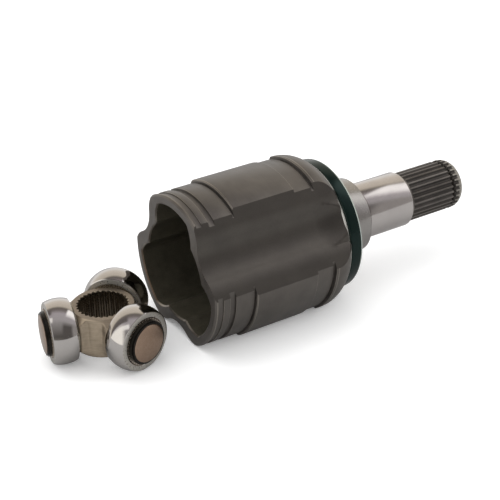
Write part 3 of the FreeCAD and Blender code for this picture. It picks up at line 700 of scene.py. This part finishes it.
# a short neck, then teeth with the clip's groove and the rounded nose cut into them. FULL stands
# for as far out as the teeth go
FULL = math.inf
spline_neck = [(143.2, 13.9), (144.5, 13.95), (SPLINE_START, 13.8)]
nose_turn = math.asin(NOSE_LENGTH / NOSE_ROUND)
nose_centre = (STUB_END - NOSE_LENGTH, SPLINE_R - NOSE_ROUND)
nose = arc(nose_centre, NOSE_ROUND, math.pi / 2, math.pi / 2 - nose_turn, 12)
spline_line = np.array([
    *spline_neck, (SPLINE_START, FULL), (CLIP_GROOVE[0], FULL), (CLIP_GROOVE[0], CLIP_GROOVE_R),
    (CLIP_GROOVE[1], CLIP_GROOVE_R), (CLIP_GROOVE[1], FULL), *nose, (STUB_END, NOSE_FACE_R),
])
spline_x, spline_r = spline_line[:, :1], spline_line[:, 1:]
toothed = np.arange(len(spline_line))[:, None] >= len(spline_neck)
teeth_r, teeth_a = tooth_ring(SPLINE_R, SPLINE_ROOT_R, SPLINE_TEETH)
teeth_a = teeth_a + math.pi / 2
reach = np.where(toothed, np.minimum(teeth_r, spline_r), spline_r)
spline_rows = np.stack(
    [np.broadcast_to(spline_x, reach.shape), reach * np.cos(teeth_a), reach * np.sin(teeth_a)],
    axis=2,
)
CREST, SPACE, NOSE = range(3)
in_space = np.isin(np.arange(len(teeth_r)) % TOOTH_POINTS, SPACE_SPANS)
start_x = spline_x[:-1]
spline = add_piece(
    "spline_end",
    spline_rows,
    "housing",
    [splined, shaded_tooth_spaces, nose_look],
    np.where(
        in_space & (start_x > SHADED_SPACES[0]) & (start_x < SHADED_SPACES[1]),
        SPACE,
        np.where(start_x > CLIP_GROOVE[1] - 0.05, NOSE, CREST),
    ),
)

# --- dust ring ------------------------------------------------------------------------------------

ring_angles = np.linspace(0, 2 * math.pi, RING_STEPS, endpoint=False)
shield_line = round_profile(
    [(86.0, 33.02), (85.5, 33.4), (85.5, 35.37), (86.0, SHIELD_R), (91.6, SHIELD_R), (92.5, 35.5),
     (92.5, 33.4), (92.0, 33.02)],
    CORNER_R,
)
# the bevel of the ring's back rim, which carries a painted highlight: spans that move both ways,
# behind 91.5 and outside 35.2
shield_step = np.abs(np.roll(shield_line, -1, axis=0) - shield_line)
back_rim = (shield_step > 0.03).all(axis=1) & (shield_line > (91.5, 35.2)).all(axis=1)
shield = add_piece(
    "dust_ring",
    circle_rows([*shield_line, shield_line[0]], ring_angles),
    "housing",
    [shield_black, shield_rim_highlight],
    np.where(back_rim, 1, 0)[:, None],
    closed_ends=False,
)
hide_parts("dust_shield")

# --- rollers --------------------------------------------------------------------------------------

face_r = math.sqrt(ROLLER_R**2 - ROLLER_HALF**2)
near_face, far_face = PITCH_R - ROLLER_HALF, PITCH_R + ROLLER_HALF
face_inner, face_outer = ROLLER_BORE_R + ROLLER_BEVEL, face_r - 0.5
ball_ends = math.atan2(face_r, -ROLLER_HALF), math.atan2(face_r, ROLLER_HALF)
ball = arc((PITCH_R, 0), ROLLER_R, *ball_ends, 40)
mid_bore = (20.0, ROLLER_BORE_R)
near_side = [
    mid_bore, (near_face + ROLLER_BEVEL, ROLLER_BORE_R), (near_face, face_inner),
    (near_face, face_outer), ball[1],
]
far_side = [
    ball[-2], (far_face, face_outer), (far_face, face_inner),
    (far_face - ROLLER_BEVEL, ROLLER_BORE_R), mid_bore,
]
roller_line = np.concatenate([
    round_profile(near_side, CORNER_R), ball[2:-2], round_profile(far_side, CORNER_R),
])
from_pitch = np.abs((roller_line[:-1, :1] + roller_line[1:, :1]) / 2 - PITCH_R)
for index in range(LOBES):
    roller = add_piece(
        f"barrel_{index + 1}",
        on_trunnion(circle_rows(roller_line, ring_angles), index),
        f"roller_set_{index + 1}",
        [mirror, side_face],
        np.where(from_pitch < ROLLER_HALF - 0.1, 0, 1),
        closed_ends=False,
        sharp=20.0,
    )
    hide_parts(f"roller_{index + 1}")

# --- spider ---------------------------------------------------------------------------------------

bore_r, bore_a = tooth_ring(BORE_TIP_R, BORE_ROOT_R, BORE_TEETH)
heights = HUB_HALF * np.sin(np.linspace(-math.pi / 2, math.pi / 2, 41))
hub_wall = [(h, hub_outside(h, bore_a)) for h in heights]
hub_loop = [
    *hub_wall,
    (HUB_HALF, bore_r + BORE_BEVEL), (HUB_HALF - BORE_BEVEL, bore_r),
    (BORE_BEVEL - HUB_HALF, bore_r), (-HUB_HALF, bore_r + BORE_BEVEL),
    hub_wall[0],
]
hub_rows = TRIPOD_CENTRE + np.stack([
    np.stack([r * np.cos(bore_a), r * np.sin(bore_a), np.full(len(bore_a), h)], axis=1)
    for h, r in hub_loop
])
# the bore's three rows of faces follow the wall's and its upper end face
hub_slots = np.zeros(len(hub_loop) - 1, int)
hub_slots[len(hub_wall):len(hub_wall) + 3] = 1
hub = add_piece(
    "spider_hub", hub_rows, "tripod", [hub_look, bore_look], hub_slots[:, None], closed_ends=False
)
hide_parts("spider")

end_dome = cap(TRUNNION_END, END_HEIGHT, np.linspace(END_RIM_R, 0.4, 12))
trunnion_line = np.concatenate([
    round_profile(
        [
            (TRUNNION_START, TRUNNION_R), (NECK_START, TRUNNION_R), (NECK_START, NECK_R),
            (RING_GROOVE[0], NECK_R), (RING_GROOVE[0], RING_GROOVE_R),
            (RING_GROOVE[1], RING_GROOVE_R), (RING_GROOVE[1], NECK_R), (BEVEL_START, NECK_R),
            end_dome[0], end_dome[1],
        ],
        CORNER_R,
    ),
    end_dome[2:],
])
for index in range(LOBES):
    trunnion = add_piece(
        f"trunnion_{index + 1}",
        on_trunnion(circle_rows(trunnion_line, ring_angles), index),
        "tripod",
        [hub_look, end_look],
        np.where(trunnion_line[:-1, :1] > BEVEL_START - 0.3, 1, 0),
    )

# --- small pieces keep their own shapes -----------------------------------------------------------

looks = {
    "needles": needle_look, "inner_washer": inner_look, "outer_retainer": washer_look,
    "snap_ring": spring_look, "stub_circlip": spring_look,
}
for name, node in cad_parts.items():
    look = next((look for start, look in looks.items() if name.startswith(start)), None)
    if look is not None:
        for slot in node.material_slots:
            slot.material = look

# --- floor ----------------------------------------------------------------------------------------

WHITE, BLACK = (1.0, 1.0, 1.0, 1.0), (0.0, 0.0, 0.0, 1.0)
PALE_FLOOR = (0.46, 0.455, 0.45, 1.0)
FLOOR_HALF = 6.0

stage = Finish("stage", Roughness=0.9, Emission_Strength=0.16)
by_camera = stage.node("ShaderNodeLightPath", output="Is Camera Ray")
stage.wear(
    Base_Color=stage.blend(by_camera, PALE_FLOOR, WHITE),
    Emission_Color=stage.blend(by_camera, BLACK, WHITE),
)
corners = FLOOR_HALF * np.array([[-1, -1], [1, -1], [1, 1], [-1, 1]])
floor_mesh = bpy.data.meshes.new("stage_floor")
floor_mesh.from_pydata([(x, y, FLOOR_Z * MM) for x, y in corners], [], [(0, 1, 2, 3)])
floor_mesh.materials.append(stage.material)
floor_piece = bpy.data.objects.new("stage_floor", floor_mesh)
bpy.context.scene.collection.objects.link(floor_piece)

# --- room -----------------------------------------------------------------------------------------

AZIMUTH, ELEVATION, ROLL = (math.radians(a) for a in (57.74, 28.88, -1.16))
ahead_level = np.array([math.cos(AZIMUTH), math.sin(AZIMUTH), 0.0])
ahead = math.cos(ELEVATION) * ahead_level - math.sin(ELEVATION) * np.array([0, 0, 1.0])
level = np.array([math.sin(AZIMUTH), -math.cos(AZIMUTH), 0])
upright = np.cross(level, ahead)


class Studio(Finish):
    """The room round the part: the same arithmetic, on the world's own nodes."""

    def __init__(self):
        world = bpy.data.worlds.new("studio")
        bpy.context.scene.world = world
        world.use_nodes = True
        self.tree = world.node_tree
        self.shader = self.tree.nodes["Background"]
        self.place = self.node("ShaderNodeTexCoord", output="Generated")

    def along(self, direction):
        """How far a ray goes along a direction: their dot product."""
        sockets = {0: self.place, 1: tuple(direction)}
        return self.node("ShaderNodeVectorMath", {"operation": "DOT_PRODUCT"}, sockets, "Value")

    def band(self, wire, *edges):
        """1 past two edges, or from the second of four edges to the third, and 0 outside them,
        going evenly between."""
        rise = self.between(wire, *edges[:2])
        return rise * self.between(wire, edges[3], edges[2]) if len(edges) == 4 else rise


studio = Studio()
# the ceiling's arc: 0 at the back wall's foot, 0.5 overhead and 1 in front of the part
arc_over = studio.maths("ARCTAN2", studio.along((0, 0, 1)), studio.along(ahead_level)) / math.pi
aside = studio.along(level)
stops = [
    (0.0, linear(250, 248, 246)), (0.08, linear(248, 245, 240)), (0.16, linear(234, 226, 214)),
    (0.3, linear(214, 205, 191)), (0.35, linear(120, 114, 108)), (0.4, linear(132, 124, 122)),
    (0.48, linear(186, 180, 184)), (0.6, linear(184, 180, 182)), (0.72, linear(152, 149, 148)),
    (0.84, linear(124, 120, 118)), (0.93, linear(92, 89, 86)), (1.0, linear(118, 114, 110)),
]
room = studio.node("ShaderNodeValToRGB", {"stops": stops}, {0: arc_over})
# each panel's colour, its edges on the arc, and its edges to the side, over 0 on the right
panels = {
    "right wall": (linear(158, 154, 152), (0.64, 0.72), (0.7, 0.82)),
    "front wall": (linear(96, 92, 90), (0.64, 0.74), (0.2, 0.36, 0.7, 0.8)),
    "left screen": (linear(112, 106, 104), (0.36, 0.4, 0.48, 0.52), (-0.3, -0.42)),
    "right box": ((1.35, 1.33, 1.32, 1.0), (0.33, 0.36, 0.45, 0.54), (0.34, 0.42)),
    "high box": ((1.1, 1.08, 1.05, 1.0), (0.55, 0.58, 0.64, 0.68), (-0.27, -0.34)),
    "left box": ((1.2, 1.17, 1.1, 1.0), (0.48, 0.62), (-0.5, -0.7)),
}
for colour, over, side in panels.values():
    panel = studio.band(arc_over, *over) * studio.band(aside, *side)
    room = studio.blend(panel, room, colour)
to_camera, to_gloss = (
    studio.node("ShaderNodeLightPath", output=kind) for kind in ("Is Camera Ray", "Is Glossy Ray")
)
seen = studio.blend(to_gloss, WHITE, room)
studio.feed({"Color": studio.blend(to_camera, seen, WHITE), "Strength": 1.0}, studio.shader)

# --- lamps and camera -----------------------------------------------------------------------------

LAMP_AIM = np.array([0.03, 0, 0])
CAMERA_PLACE = (-0.28386, -0.52202, 0.33839)
# sensor's width, and the focal length as a multiple of it
SENSOR = 36.0
FOCAL_SHARE = 2.6874


def placed(thing, x, y, z, place):
    """Sets an object by its own three axes and its place, as the columns of its matrix."""
    axes = np.column_stack([[*x, 0], [*y, 0], [*z, 0], [*place, 1]])
    thing.matrix_world = Matrix(axes.tolist())
    bpy.context.scene.collection.objects.link(thing)


def soft_box(name, place, size, power):
    """A square lamp that faces LAMP_AIM, in the cup: its z axis is place - aim, its x axis lies
    level, and y is their cross product."""
    lamp = bpy.data.lights.new(name, "AREA")
    lamp.shape = "SQUARE"
    lamp.size = size
    lamp.energy = power
    box = bpy.data.objects.new(name, lamp)
    toward = np.array(place) - LAMP_AIM
    z = toward / np.linalg.norm(toward)
    x = np.cross([0, 0, 1.0], z)
    x /= np.linalg.norm(x)
    placed(box, x, np.cross(z, x), z, place)
    box.visible_glossy = False


soft_box("key", (-0.2, 0.6, 1.2), 1.5, 6.0)
soft_box("fill", (0.9, -0.9, 0.9), 0.9, 3.0)

lens = bpy.data.cameras.new("camera")
lens.sensor_width = SENSOR
lens.lens = FOCAL_SHARE * SENSOR
camera = bpy.data.objects.new("camera", lens)
right = math.cos(ROLL) * level + math.sin(ROLL) * upright
up = math.cos(ROLL) * upright - math.sin(ROLL) * level
placed(camera, right, up, -ahead, CAMERA_PLACE)
bpy.context.scene.camera = camera
bpy.context.scene.view_settings.view_transform = "Standard"
